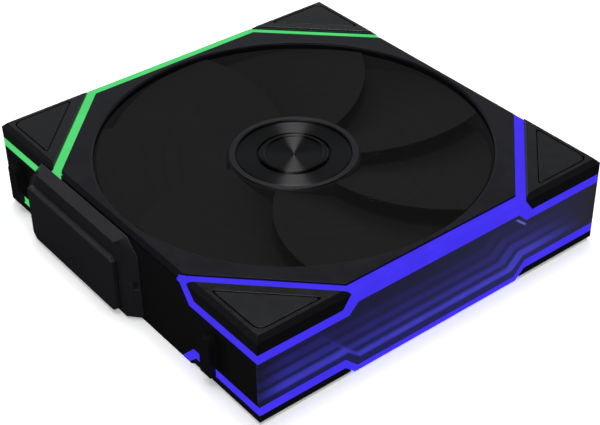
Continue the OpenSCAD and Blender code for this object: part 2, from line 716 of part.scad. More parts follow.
module module_board() {
  color([0.08, 0.3, 0.15]) out_of_side(base_x[0] + 0.9, base_x[0] + 1.9)
    translate([-16.6, 4.4]) square([33.2, 11.7]);
}
module module_contacts() {
  color("gold") for (i = [0:contact_count - 1])
    translate([-hx - base_x[0] - 0.9, contact_y + (i - (contact_count - 1) / 2) * contact_pitch - 0.5, contact_z - 2.5])
      cube([0.85, 1, 5]);
}

frame();
motor_bracket();
bezel();
corner_cap(-1, -1);  // corner_cap_front_left
corner_cap(1, -1);  // corner_cap_front_right
corner_cap(-1, 1);  // corner_cap_back_left
corner_cap(1, 1);  // corner_cap_back_right
corner_pad(-1, -1);  // corner_pad_front_left
corner_pad(1, -1);  // corner_pad_front_right
corner_pad(-1, 1);  // corner_pad_back_left
corner_pad(1, 1);  // corner_pad_back_right
corner_foot(-1, -1);  // corner_foot_front_left
corner_foot(1, -1);  // corner_foot_front_right
corner_foot(-1, 1);  // corner_foot_back_left
corner_foot(1, 1);  // corner_foot_back_right
upper_light_guide(-1);  // upper_light_guide_front
upper_light_guide(1);  // upper_light_guide_back
lower_light_guide(-1);  // lower_light_guide_front
lower_light_guide(1);  // lower_light_guide_back
mirror_window(-1);  // mirror_window_front
mirror_window(1);  // mirror_window_back
rear_mirror(-1);  // rear_mirror_front
rear_mirror(1);  // rear_mirror_back
led_board(-1, upper_board_z);  // upper_led_board_front
led_board(1, upper_board_z);  // upper_led_board_back
led_board(-1, lower_board_z);  // lower_led_board_front
led_board(1, lower_board_z);  // lower_led_board_back
leds(-1);  // leds_front
leds(1);  // leds_back
impeller();
hub_trim_ring();
hub_disc();
rotor_yoke();
magnet_ring();
shaft();
bearing_tube();
bearing_sleeve();
thrust_plate();
retaining_ring();
stator_core();
stator_coils();
stator_insulator(stator_z[1]);  // stator_insulator_upper
stator_insulator(stator_z[0] - insulator_t);  // stator_insulator_lower
motor_board();
motor_board_parts();
motor_wires(-1);  // motor_wires_left
motor_wires(1);  // motor_wires_right
motor_cover();
color([0.08, 0.3, 0.15]) link_board();  // link_board_left
color([0.08, 0.3, 0.15]) mirror([1, 0, 0]) link_board();  // link_board_right
color("gold") link_contacts();  // link_contacts_left
color("gold") mirror([1, 0, 0]) link_contacts();  // link_contacts_right
module_base();
module_cover();
module_board();
module_contacts();
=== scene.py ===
"""Looks of a 120 mm case fan with light guides and mirror windows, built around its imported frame.

Everything is in metres, in the frame of the part: Z is the rotor axis, and the fan lies on its
rear face, so the floor is at z = 0.
"""
from math import cos, pi, radians, sin

import bmesh
import bpy
from mathutils import Matrix, Vector


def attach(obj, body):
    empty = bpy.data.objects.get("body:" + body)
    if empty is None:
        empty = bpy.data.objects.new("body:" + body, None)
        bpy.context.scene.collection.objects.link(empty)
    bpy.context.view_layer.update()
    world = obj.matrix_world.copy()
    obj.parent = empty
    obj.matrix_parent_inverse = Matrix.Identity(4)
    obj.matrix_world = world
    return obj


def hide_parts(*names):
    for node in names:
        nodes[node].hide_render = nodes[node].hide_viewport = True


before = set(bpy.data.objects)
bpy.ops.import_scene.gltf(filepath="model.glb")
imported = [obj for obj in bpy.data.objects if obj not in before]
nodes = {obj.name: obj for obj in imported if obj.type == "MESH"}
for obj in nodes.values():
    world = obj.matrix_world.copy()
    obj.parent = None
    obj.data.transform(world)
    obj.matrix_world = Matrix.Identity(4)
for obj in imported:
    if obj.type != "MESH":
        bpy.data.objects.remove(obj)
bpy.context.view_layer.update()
mm = 0.001

# ---------- camera ----------
# A long lens on a tripod, looking down over the front left corner of the fan.

camera_azimuth = radians(-37.968)
camera_height = radians(36.245)
camera_roll = radians(-0.912)
camera_distance = 391.98 * mm
camera_target = Vector((-8.573, -13.388, 14)) * mm

away = Vector((sin(camera_azimuth) * cos(camera_height),
               -cos(camera_azimuth) * cos(camera_height), sin(camera_height)))
level_right = (-away).cross(Vector((0, 0, 1))).normalized()
level_up = level_right.cross(-away)
rolled_right = level_right * cos(camera_roll) + level_up * sin(camera_roll)
rolled_up = level_up * cos(camera_roll) - level_right * sin(camera_roll)
camera_data = bpy.data.cameras.new("camera")
camera_data.lens = 83.455
camera_data.sensor_width = 36
camera_data.clip_start = 0.01
camera = bpy.data.objects.new("camera", camera_data)
bpy.context.scene.collection.objects.link(camera)
turn = Matrix((rolled_right, rolled_up, away)).transposed().to_4x4()
camera.matrix_world = Matrix.Translation(camera_target + away * camera_distance) @ turn
bpy.context.scene.camera = camera
bpy.context.scene.view_settings.view_transform = "Standard"

# ---------- studio ----------
# A pale floor and sky that only the lens sees as bright, so that the dark plastic keeps its depth.
# A wide soft light hangs overhead, with a soft box high behind the fan for the turned metal and
# another low on its left.


def new_material(name):
    """An empty node material and a function that adds and wires one node in it."""
    material = bpy.data.materials.new(name)
    material.use_nodes = True
    material.node_tree.nodes.clear()
    return material, tree_tools(material.node_tree)


def tree_tools(tree):
    """A function that adds one node to the tree, sets its properties and fills its inputs."""
    def add(kind, inputs=None, **settings):
        node = tree.nodes.new(kind)
        for key, value in settings.items():
            setattr(node, key, value)
        for key, value in (inputs or {}).items():
            if isinstance(value, bpy.types.NodeSocket):
                tree.links.new(value, node.inputs[key])
            else:
                node.inputs[key].default_value = value
        return node
    return add


floor_half = 12.0
floor_mesh = bpy.data.meshes.new("floor")
floor_mesh.from_pydata([(-floor_half, -floor_half, 0), (floor_half, -floor_half, 0),
                        (floor_half, floor_half, 0), (-floor_half, floor_half, 0)],
                       [], [(0, 1, 2, 3)])
floor = bpy.data.objects.new("floor", floor_mesh)
floor.location.z = -0.1 * mm
bpy.context.scene.collection.objects.link(floor)
floor_paint, add = new_material("floor_paint")
floor_noise = add("ShaderNodeTexNoise", {"Scale": 9.0, "Detail": 3.0})
floor_tone = add("ShaderNodeMapRange", {"Value": floor_noise.outputs[0], "To Min": 0.84,
                                        "To Max": 0.87})
# painted shadow: the floor's glow is cut to nothing inside a square 52 mm out from the axis, under the
# fan, and grows to full by 59 mm
floor_spot = add("ShaderNodeSeparateXYZ", {0: add("ShaderNodeTexCoord").outputs["Object"]})
floor_x = add("ShaderNodeMath", {0: floor_spot.outputs["X"]}, operation="ABSOLUTE")
floor_y = add("ShaderNodeMath", {0: floor_spot.outputs["Y"]}, operation="ABSOLUTE")
floor_out = add("ShaderNodeMath", {0: floor_x.outputs[0], 1: floor_y.outputs[0]}, operation="MAXIMUM")
floor_glow_cut_by_painted_shadow = add("ShaderNodeMapRange", {"Value": floor_out.outputs[0], "From Min": 52 * mm,
                                        "From Max": 59 * mm, "To Max": 0.3})
floor_lit = add("ShaderNodeBsdfPrincipled", {
    "Base Color": floor_tone.outputs[0], "Roughness": 0.9, "Specular IOR Level": 0.0,
    "Emission Color": (1, 1, 1, 1), "Emission Strength": floor_glow_cut_by_painted_shadow.outputs[0]})
floor_dim = add("ShaderNodeBsdfDiffuse", {"Color": (0.03, 0.03, 0.032, 1)})
floor_ray = add("ShaderNodeLightPath")
floor_mix = add("ShaderNodeMixShader", {0: floor_ray.outputs["Is Camera Ray"],
                                        1: floor_dim.outputs[0], 2: floor_lit.outputs[0]})
add("ShaderNodeOutputMaterial", {"Surface": floor_mix.outputs[0]})
floor_mesh.materials.append(floor_paint)

world = bpy.data.worlds.new("studio")
bpy.context.scene.world = world
world.use_nodes = True
world.node_tree.nodes.clear()
add = tree_tools(world.node_tree)
world_bright = add("ShaderNodeBackground", {"Color": (1, 1, 1, 1), "Strength": 0.97})
world_way = add("ShaderNodeTexCoord").outputs["Generated"]
world_level = add("ShaderNodeSeparateXYZ", {0: world_way})
world_low = add("ShaderNodeMapRange", {"Value": world_level.outputs["Z"], "From Min": 0.46,
                                       "From Max": 0.56, "To Min": 0.5, "To Max": 0.05})
world_side = add("ShaderNodeVectorMath", {0: world_way, 1: (0.72, 0.69, 0)}, operation="DOT_PRODUCT")
world_far = add("ShaderNodeMapRange", {"Value": world_side.outputs["Value"], "From Min": 0.1,
                                       "From Max": 0.8, "To Min": 0.2},
                interpolation_type="SMOOTHSTEP")
world_glow = add("ShaderNodeMath", {0: world_low.outputs[0], 1: world_far.outputs[0]},
                 operation="MULTIPLY")
world_dim = add("ShaderNodeBackground", {"Color": (0.92, 0.95, 1, 1),
                                         "Strength": world_glow.outputs[0]})
world_ray = add("ShaderNodeLightPath")
world_mix = add("ShaderNodeMixShader", {0: world_ray.outputs["Is Camera Ray"],
                                        1: world_dim.outputs[0], 2: world_bright.outputs[0]})
add("ShaderNodeOutputWorld", {"Surface": world_mix.outputs[0]})


def soft_box(name, azimuth, height, distance, width, length, power, tint=(1, 1, 1)):
    """An area light that faces the fan from an azimuth counted from +X towards +Y."""
    data = bpy.data.lights.new(name, "AREA")
    data.shape = "RECTANGLE"
    data.size = width
    data.size_y = length
    data.energy = power
    data.color = tint
    light = bpy.data.objects.new(name, data)
    a, h = radians(azimuth), radians(height)
    towards = Vector((cos(a) * cos(h), sin(a) * cos(h), sin(h)))
    light.location = towards * distance
    light.rotation_euler = towards.to_track_quat("Z", "Y").to_euler()
    bpy.context.scene.collection.objects.link(light)
    return light


overhead = soft_box("overhead", 0, 90, 1.6, 1.6, 1.6, 28)
overhead.visible_glossy = False
soft_box("back_box", 52, 76, 1.1, 0.3, 0.5, 5.0)
soft_box("side_box", 215, 30, 1.2, 0.5, 0.5, 3.6, (0.95, 0.97, 1))

# ---------- frame and motor bracket ----------
# The square duct body and the six-armed motor bracket are injection moulded in black ABS with a
# fine spark-eroded texture, screwed together from behind. Both carry a painted glow of their own,
# full on the duct wall and the bracket and faint on the outer frame, which stands in for what a
# turning rotor throws back on them.


def node_group(name, inputs, outputs):
    """A shader group with named sockets; returns it with its tools and its input node."""
    group = bpy.data.node_groups.new(name, "ShaderNodeTree")
    for label, kind, value in inputs:
        socket = group.interface.new_socket(label, in_out="INPUT", socket_type=kind)
        socket.default_value = value
    for label, kind in outputs:
        group.interface.new_socket(label, in_out="OUTPUT", socket_type=kind)
    return group, tree_tools(group), group.nodes.new("NodeGroupInput").outputs


COLOUR, NUMBER = "NodeSocketColor", "NodeSocketFloat"
grain_group, add, given = node_group(
    "moulded_grain",
    [("Colour", COLOUR, (0.01, 0.01, 0.01, 1)), ("Mottle", NUMBER, 0.15),
     ("Roughness", NUMBER, 0.4), ("Spread", NUMBER, 0.06), ("Grain", NUMBER, 2600.0)],
    [("Colour", COLOUR), ("Roughness", NUMBER), ("Height", NUMBER)])
place = add("ShaderNodeTexCoord").outputs["Object"]
fine = add("ShaderNodeTexNoise", {"Vector": place, "Scale": given["Grain"], "Detail": 3.0})
patches = add("ShaderNodeTexNoise", {"Vector": place, "Scale": 55.0, "Detail": 4.0, "Roughness": 0.6})
flow = add("ShaderNodeTexNoise", {"Vector": place, "Scale": 320.0, "Detail": 2.0})
blend_tone = add("ShaderNodeMath", {0: patches.outputs[0], 1: flow.outputs[0]}, operation="ADD")
centred = add("ShaderNodeMath", {0: blend_tone.outputs[0], 1: 1.0}, operation="SUBTRACT")
swing = add("ShaderNodeMath", {0: centred.outputs[0], 1: given["Mottle"]}, operation="MULTIPLY")
gain = add("ShaderNodeMath", {0: swing.outputs[0], 1: 1.0}, operation="ADD")
tinted = add("ShaderNodeVectorMath", {0: given["Colour"], "Scale": gain.outputs[0]}, operation="SCALE")
rough_swing = add("ShaderNodeMath", {0: centred.outputs[0], 1: given["Spread"]}, operation="MULTIPLY")
rough = add("ShaderNodeMath", {0: rough_swing.outputs[0], 1: given["Roughness"]}, operation="ADD")
add("NodeGroupOutput", {"Colour": tinted.outputs[0], "Roughness": rough.outputs[0],
                        "Height": fine.outputs[0]})


def moulded(name, colour, roughness, specular=0.4, mottle=0.2, spread=0.1, grain=2600.0,
            depth=0.012, coat=0.0):
    """Moulded plastic or rubber: mottled colour, uneven gloss and a fine grain depth mm deep."""
    material, add = new_material(name)
    surface = add("ShaderNodeGroup", {"Colour": (*colour, 1), "Mottle": mottle, "Spread": spread,
                                      "Roughness": roughness, "Grain": grain}, node_tree=grain_group)
    bump = add("ShaderNodeBump", {"Height": surface.outputs["Height"], "Strength": 0.6,
                                  "Distance": depth * mm})
    shader = add("ShaderNodeBsdfPrincipled", {
        "Base Color": surface.outputs["Colour"], "Roughness": surface.outputs["Roughness"],
        "Normal": bump.outputs[0], "Specular IOR Level": specular, "Coat Weight": coat,
        "Coat Roughness": 0.1})
    add("ShaderNodeOutputMaterial", {"Surface": shader.outputs[0]})
    return material


def dress(name, material, edge=0.0):
    """Gives a part its finish, and rounds its sharp edges by edge mm as a mould tool would."""
    part = nodes[name]
    part.data.materials.clear()
    part.data.materials.append(material)
    if edge:
        part.data.polygons.foreach_set("use_smooth", [True] * len(part.data.polygons))
        weld = part.modifiers.new("weld", "WELD")
        weld.merge_threshold = 0.001 * mm
        planes = part.modifiers.new("planes", "DECIMATE")
        planes.decimate_type = "DISSOLVE"
        planes.angle_limit = radians(0.6)
        bevel = part.modifiers.new("edges", "BEVEL")
        bevel.width = edge * mm
        bevel.segments = 2
        bevel.limit_method = "ANGLE"
        bevel.angle_limit = radians(32)
        bevel.use_clamp_overlap = True
        bevel.miter_outer = "MITER_ARC"
        normals = part.modifiers.new("normals", "WEIGHTED_NORMAL")
        normals.keep_sharp = False
        normals.weight = 80


frame_plastic = moulded("frame_plastic", (0.0034, 0.0034, 0.0039), 0.5, specular=0.2)
add = tree_tools(frame_plastic.node_tree)
# painted glow: emission 0.008 inside 58.2 mm of the axis, on the duct wall and the bracket, falling to
# 0.0014 on the outer frame
wall_spot = add("ShaderNodeTexCoord").outputs["Object"]
wall_flat = add("ShaderNodeVectorMath", {0: wall_spot, 1: (1, 1, 0)}, operation="MULTIPLY")
wall_radius = add("ShaderNodeVectorMath", {0: wall_flat.outputs[0]}, operation="LENGTH")
wall_painted_glow = add("ShaderNodeMapRange", {"Value": wall_radius.outputs["Value"], "From Min": 59 * mm,
                                       "From Max": 58.2 * mm, "To Min": 0.0014, "To Max": 0.008})
wall_painted_glow_colour = add("ShaderNodeVectorMath", {0: (1, 1, 1), "Scale": wall_painted_glow.outputs[0]},
                 operation="SCALE")
frame_shader = frame_plastic.node_tree.nodes["Principled BSDF"]
frame_plastic.node_tree.links.new(wall_painted_glow_colour.outputs[0], frame_shader.inputs["Emission Color"])
frame_shader.inputs["Emission Strength"].default_value = 1.0
dress("frame", frame_plastic)
dress("motor_bracket", frame_plastic)

# ---------- bezel ----------
# The intake bezel is a flat black cover plate with a satin, faintly bluish top, snapped into the
# light guides.

bezel_plastic = moulded("bezel_plastic", (0.0052, 0.0052, 0.007), 0.34, specular=0.2,
                        mottle=0.35, spread=0.16, grain=1900.0, depth=0.01)
dress("bezel", bezel_plastic, 0.12)

# ---------- corner caps, pads and feet ----------
# Hard black caps close the intake corners over the screw heads. Each holds a soft rubber pad, and
# rubber feet fill the rear corners, so neither face rattles against the case.

CORNERS = ["front_left", "front_right", "back_left", "back_right"]
cap_plastic = moulded("cap_plastic", (0.0048, 0.0048, 0.0056), 0.28, specular=0.4, mottle=0.3,
                      spread=0.12)
pad_rubber = moulded("pad_rubber", (0.0042, 0.0045, 0.0053), 0.36, specular=0.3, mottle=0.35,
                     spread=0.14, grain=1500.0, depth=0.03)
foot_rubber = moulded("foot_rubber", (0.009, 0.009, 0.0095), 0.62, specular=0.25, mottle=0.3,
                      grain=1500.0, depth=0.03)
for corner in CORNERS:
    dress("corner_cap_" + corner, cap_plastic, 0.12)
    dress("corner_pad_" + corner, pad_rubber, 0.25)
    dress("corner_foot_" + corner, foot_rubber, 0.2)

# ---------- light guides ----------
# Milky acrylic bars carry the light of hidden diodes round the top and the foot of the front and
# back faces, up both diagonals of the intake face and round the corners. The front pair is lit
# blue, the back pair green.


def lit_guide(name, glow):
    """Frosted acrylic lit from inside, a little uneven where the diodes sit behind it."""
    material, add = new_material(name)
    place = add("ShaderNodeTexCoord").outputs["Object"]
    cloud = add("ShaderNodeTexNoise", {"Vector": place, "Scale": 130.0, "Detail": 3.0})
    uneven = add("ShaderNodeMapRange", {"Value": cloud.outputs[0], "From Min": 0.3, "From Max": 0.7,
                                        "To Min": 0.94, "To Max": 1.06})
    light = add("ShaderNodeVectorMath", {0: glow, "Scale": uneven.outputs[0]}, operation="SCALE")
    skin = add("ShaderNodeTexNoise", {"Vector": place, "Scale": 1800.0, "Detail": 2.0})
    bump = add("ShaderNodeBump", {"Height": skin.outputs[0], "Strength": 0.5, "Distance": 0.02 * mm})
    body = [0.01 * part for part in glow]
    shader = add("ShaderNodeBsdfPrincipled", {
        "Base Color": (*body, 1), "Roughness": 0.5, "Specular IOR Level": 0.02,
        "Normal": bump.outputs[0], "Emission Color": light.outputs[0], "Emission Strength": 1.0})
    add("ShaderNodeOutputMaterial", {"Surface": shader.outputs[0]})
    return material


glow_colour = {"front": (0.056, 0.033, 0.87), "back": (0.089, 0.69, 0.181)}
for side, slot in (("front", "guide_blue"), ("back", "guide_green")):
    guide = lit_guide(slot, glow_colour[side])
    dress("upper_light_guide_" + side, guide, 0.1)
    dress("lower_light_guide_" + side, guide, 0.1)

# ---------- mirror windows ----------
# A half-silvered smoked window stands in front of a full mirror. The lower light line bounces
# between the two, so a stack of its copies shows in the window, each one fainter, higher and
# further to the left of someone facing it. The copies are painted reflections, glowing in the
# window's own surface.

step_up = 3.85
step_along = 3.5
# painted reflection: one copy of the lower light line, lifted and shifted by its step
painted_line_group, add, given = node_group(
    "painted_mirrored_line",
    [("Along", NUMBER, 0.0), ("Up", NUMBER, 0.0), ("Step", NUMBER, 0.0), ("Strength", NUMBER, 1.0)],
    [("Light", NUMBER)])
along_shift = add("ShaderNodeMath", {0: given["Step"], 1: step_along, 2: given["Along"]},
                  operation="MULTIPLY_ADD")
up_shift = add("ShaderNodeMath", {0: given["Step"], 1: -step_up, 2: given["Up"]},
               operation="MULTIPLY_ADD")


def line_edge(offset, kink_in, kink_out, centre_z, end_z):
    """Height of one edge of the line above the foot, dropping through the kinks to the middle."""
    moved = add("ShaderNodeMath", {0: along_shift.outputs[0], 1: offset}, operation="ADD")
    distance = add("ShaderNodeMath", {0: moved.outputs[0]}, operation="ABSOLUTE")
    return add("ShaderNodeMapRange", {"Value": distance.outputs[0], "From Min": kink_in,
                                      "From Max": kink_out, "To Min": centre_z, "To Max": end_z})


low_edge = line_edge(0.0, 27.6, 31.5, 4.35, 7.75)
high_edge = line_edge(1.9, 26.9, 31.2, 7.35, 11.25)
above = add("ShaderNodeMath", {0: up_shift.outputs[0], 1: low_edge.outputs[0]}, operation="SUBTRACT")
below = add("ShaderNodeMath", {0: high_edge.outputs[0], 1: up_shift.outputs[0]}, operation="SUBTRACT")
rise = add("ShaderNodeMapRange", {"Value": above.outputs[0], "From Min": -0.3, "From Max": 0.9},
           interpolation_type="SMOOTHSTEP")
fall = add("ShaderNodeMapRange", {"Value": below.outputs[0], "From Min": -0.1, "From Max": 1.6},
           interpolation_type="SMOOTHSTEP")
both = add("ShaderNodeMath", {0: rise.outputs[0], 1: fall.outputs[0]}, operation="MULTIPLY")
scaled = add("ShaderNodeMath", {0: both.outputs[0], 1: given["Strength"]}, operation="MULTIPLY")
add("NodeGroupOutput", {"Light": scaled.outputs[0]})


def mirror_window(name, facing, glow):
    """Smoked window with the stack of mirrored lines painted on as glow; facing is 1 on the front, -1 on
    the back.
    """
    material, add = new_material(name)
    place = add("ShaderNodeTexCoord").outputs["Object"]
    spot = add("ShaderNodeSeparateXYZ", {0: place})
    along = add("ShaderNodeMath", {0: spot.outputs["X"], 1: facing / mm}, operation="MULTIPLY")
    up = add("ShaderNodeMath", {0: spot.outputs["Z"], 1: 1 / mm}, operation="MULTIPLY")
    # painted glow: a faint wash of the line colour over the whole window, stronger towards the foot
    painted_line_glow = add("ShaderNodeMapRange", {"Value": up.outputs[0], "From Min": 3.0, "From Max": 21.0,
                                       "To Min": 0.085, "To Max": 0.03}).outputs[0]
    # painted reflections: four fading copies of the lower light line
    for step in range(4):
        fade = add("ShaderNodeMapRange", {"Value": along.outputs[0], "From Min": 60.0 - 4 * step,
                                          "From Max": 30.0 - 7 * step,
                                          "To Max": 0.38 * 0.42 ** step},
                   interpolation_type="SMOOTHSTEP")
        line = add("ShaderNodeGroup", {"Along": along.outputs[0], "Up": up.outputs[0], "Step": step,
                                       "Strength": fade.outputs[0]}, node_tree=painted_line_group)
        painted_line_glow = add("ShaderNodeMath", {0: painted_line_glow, 1: line.outputs[0]}, operation="ADD").outputs[0]
    near_fade = add("ShaderNodeMapRange", {"Value": along.outputs[0], "From Min": -61.0,
                                           "From Max": -50.0, "To Min": 0.25},
                    interpolation_type="SMOOTHSTEP")
    far_fade = add("ShaderNodeMapRange", {"Value": along.outputs[0], "From Min": 62.0,
                                          "From Max": 38.0, "To Min": 0.2},
                   interpolation_type="SMOOTHSTEP")
    faded = add("ShaderNodeMath", {0: painted_line_glow, 1: near_fade.outputs[0]}, operation="MULTIPLY")
    faded = add("ShaderNodeMath", {0: faded.outputs[0], 1: far_fade.outputs[0]}, operation="MULTIPLY")
    # painted reflection: the end of the upper line, mirrored once as a short slanting streak by the far
    # kink
    slant = add("ShaderNodeMapRange", {"Value": up.outputs[0], "From Min": 18.9, "From Max": 22.2,
                                       "To Min": 31.2, "To Max": 27.4})
    aside = add("ShaderNodeMath", {0: along.outputs[0], 1: slant.outputs[0]}, operation="SUBTRACT")
    aside = add("ShaderNodeMath", {0: aside.outputs[0]}, operation="ABSOLUTE")
    painted_streak = add("ShaderNodeMapRange", {"Value": aside.outputs[0], "From Min": 0.7, "From Max": 0.25,
                                        "To Min": 0.0, "To Max": 1.0}, interpolation_type="SMOOTHSTEP")
    streak_low = add("ShaderNodeMapRange", {"Value": up.outputs[0], "From Min": 18.5, "From Max": 19.3})
    streak_high = add("ShaderNodeMapRange", {"Value": up.outputs[0], "From Min": 22.4, "From Max": 21.6})
    painted_streak = add("ShaderNodeMath", {0: painted_streak.outputs[0], 1: streak_low.outputs[0]}, operation="MULTIPLY")
    painted_streak = add("ShaderNodeMath", {0: painted_streak.outputs[0], 1: streak_high.outputs[0]}, operation="MULTIPLY")
    haze = add("ShaderNodeTexNoise", {"Vector": place, "Scale": 90.0, "Detail": 2.0})
    smoke = add("ShaderNodeMapRange", {"Value": haze.outputs[0], "From Min": 0.3, "From Max": 0.7,
                                       "To Min": 0.9, "To Max": 1.08})
    light = add("ShaderNodeMath", {0: faded.outputs[0], 1: smoke.outputs[0]}, operation="MULTIPLY")
    lines = add("ShaderNodeVectorMath", {0: glow, "Scale": light.outputs[0]}, operation="SCALE")
    streak_colour = (0.09 + 0.2 * glow[0], 0.08 + 0.2 * glow[1], 0.11 + 0.3 * glow[2])
    painted_streak_and_room = add("ShaderNodeVectorMath", {0: streak_colour, "Scale": painted_streak.outputs[0]},
               operation="SCALE")
    # painted reflection of the room: a grey glow that grows from one end of the window to the other
    painted_room_glow = add("ShaderNodeMapRange", {"Value": along.outputs[0], "From Min": -50.0, "From Max": 50.0,
                                      "To Min": 0.004, "To Max": 0.015})
    painted_room_colour = add("ShaderNodeCombineXYZ", {0: painted_room_glow.outputs[0], 1: painted_room_glow.outputs[0], 2: painted_room_glow.outputs[0]})
    painted_streak_and_room = add("ShaderNodeVectorMath", {0: painted_streak_and_room.outputs[0], 1: painted_room_colour.outputs[0]}, operation="ADD")
    painted_reflections = add("ShaderNodeVectorMath", {0: lines.outputs[0], 1: painted_streak_and_room.outputs[0]}, operation="ADD")
    # all the painted reflections glow through the window's emission
    shader = add("ShaderNodeBsdfPrincipled", {
        "Base Color": (0.01, 0.01, 0.012, 1), "Roughness": 0.16, "Specular IOR Level": 0.5,
        "Emission Color": painted_reflections.outputs[0], "Emission Strength": 1.0})
    add("ShaderNodeOutputMaterial", {"Surface": shader.outputs[0]})
    return material


dress("mirror_window_front", mirror_window("smoked_window_blue", 1, (0.08, 0.07, 1.0)), 0.08)
dress("mirror_window_back", mirror_window("smoked_window_green", -1, (0.085, 0.9, 0.22)), 0.08)

# ---------- mirrors, light strips and diodes ----------
# Behind each window a silvered sheet is glued to the wall, with a strip of eight white-bodied
# diodes on a green board above it and another below it.


def metal(name, colour, roughness, scratches=900.0):
    """Bare metal with a fine uneven polish."""
    material, add = new_material(name)
    place = add("ShaderNodeTexCoord").outputs["Object"]
    marks = add("ShaderNodeTexNoise", {"Vector": place, "Scale": scratches, "Detail": 4.0})
    tone = add("ShaderNodeMapRange", {"Value": marks.outputs[0], "To Min": 0.8, "To Max": 1.15})
    paint = add("ShaderNodeVectorMath", {0: colour, "Scale": tone.outputs[0]}, operation="SCALE")
    gloss = add("ShaderNodeMapRange", {"Value": marks.outputs[0], "To Min": roughness - 0.07,
                                       "To Max": roughness + 0.09})
    bump = add("ShaderNodeBump", {"Height": marks.outputs[0], "Strength": 0.5,
                                  "Distance": 0.004 * mm})
    shader = add("ShaderNodeBsdfPrincipled", {
        "Base Color": paint.outputs[0], "Metallic": 1.0, "Roughness": gloss.outputs[0],
        "Normal": bump.outputs[0]})
    add("ShaderNodeOutputMaterial", {"Surface": shader.outputs[0]})
    return material


mirror_sheet = metal("mirror_sheet", (0.82, 0.83, 0.85), 0.12)
board_green = moulded("board", (0.012, 0.06, 0.028), 0.35, mottle=0.4, grain=900.0, coat=0.4)
led_lens = moulded("led_lens", (0.75, 0.74, 0.6), 0.3, mottle=0.1)
for side in ("front", "back"):
    dress("rear_mirror_" + side, mirror_sheet)
    dress("upper_led_board_" + side, board_green)
    dress("lower_led_board_" + side, board_green)
    dress("leds_" + side, led_lens, 0.08)

# ---------- impeller ----------
# One glass-filled nylon moulding: a hub cup with seven wide blades that overlap and so almost
# close the disc, with faint concentric ribs on every blade. A faint painted glow of its own stands
# in for the even grey of a turning rotor.

blade_count = 7
blade_root, blade_tip = 19.1, 56.2
blade_span = (80.0, 76.0)
blade_sweep = 16.0
blade_high = (23.6, 26.3)
blade_low = (13.0, 14.5)
blade_thickness = 1.5
rib_height, rib_pitch = 0.05, 2.34
across_steps, chord_steps = 80, 36


def mix(pair, share):
    """Value at a share of the way between a pair of numbers."""
    return pair[0] + (pair[1] - pair[0]) * share


def blade_point(out, chord, face):
    """Point of a blade: out runs from root to tip, chord from leading to trailing edge."""
    r = mix((blade_root, blade_tip), out)
    a = radians(blade_sweep * out ** 1.4 + mix(blade_span, out) * (chord - 0.5))
    high, low = mix(blade_high, out), mix(blade_low, out)
    drop = 0.8 * chord + 0.2 * chord * chord - 0.14 * sin(pi * chord)
    thick = blade_thickness * (0.3 + 0.7 * sin(pi * chord))
    z = high - (high - low) * drop + face * thick / 2
    if face > 0:
        z += rib_height * (0.5 + 0.5 * sin(2 * pi * r / rib_pitch)) * min(1, 6 * chord, 6 * (1 - chord))
    return Vector((r * cos(a), r * sin(a), z)) * mm


rotor_mesh = bmesh.new()
for blade in range(blade_count):
    spin = Matrix.Rotation(2 * pi * blade / blade_count, 3, "Z")
    skins = []
    for face in (1, -1):
        skins.append([[rotor_mesh.verts.new(spin @ blade_point(i / across_steps, j / chord_steps, face))
                       for j in range(chord_steps + 1)] for i in range(across_steps + 1)])
    upper, lower = skins
    for i in range(across_steps):
        for j in range(chord_steps):
            rotor_mesh.faces.new((upper[i][j], upper[i + 1][j], upper[i + 1][j + 1], upper[i][j + 1]))
            rotor_mesh.faces.new((lower[i][j], lower[i][j + 1], lower[i + 1][j + 1], lower[i + 1][j]))
        rotor_mesh.faces.new((upper[i][0], lower[i][0], lower[i + 1][0], upper[i + 1][0]))
        rotor_mesh.faces.new((upper[i][-1], upper[i + 1][-1], lower[i + 1][-1], lower[i][-1]))
    for j in range(chord_steps):
        rotor_mesh.faces.new((upper[0][j], upper[0][j + 1], lower[0][j + 1], lower[0][j]))
        rotor_mesh.faces.new((upper[-1][j], lower[-1][j], lower[-1][j + 1], upper[-1][j + 1]))


def lathe(mesh, profile, turns=144):
    """Adds a closed ring turned from a profile of (r, z) in mm round the rotor axis."""
    rings = []
    for i in range(turns):
        a = 2 * pi * i / turns
        rings.append([mesh.verts.new(Vector((r * cos(a), r * sin(a), z)) * mm) for r, z in profile])
    for i in range(turns):
        one, two = rings[i], rings[(i + 1) % turns]
        for j in range(len(profile)):
            k = (j + 1) % len(profile)
            mesh.faces.new((one[j], two[j], two[k], one[k]))


lathe(rotor_mesh, [(17.4, 5.5), (19.0, 5.5), (19.4, 5.9), (19.4, 23.1), (19.32, 23.4), (19.2, 23.62),
                   (19.0, 23.8), (18.9, 23.86), (18.9, 22.7), (4, 22.7), (4, 21.8), (17.4, 21.8)])
bmesh.ops.recalc_face_normals(rotor_mesh, faces=rotor_mesh.faces)
impeller_mesh = bpy.data.meshes.new("impeller_moulding")
rotor_mesh.to_mesh(impeller_mesh)
rotor_mesh.free()
impeller = bpy.data.objects.new("impeller_moulding", impeller_mesh)
bpy.context.scene.collection.objects.link(impeller)
impeller_mesh.polygons.foreach_set("use_smooth", [True] * len(impeller_mesh.polygons))
impeller_mesh.set_sharp_from_angle(angle=radians(40))

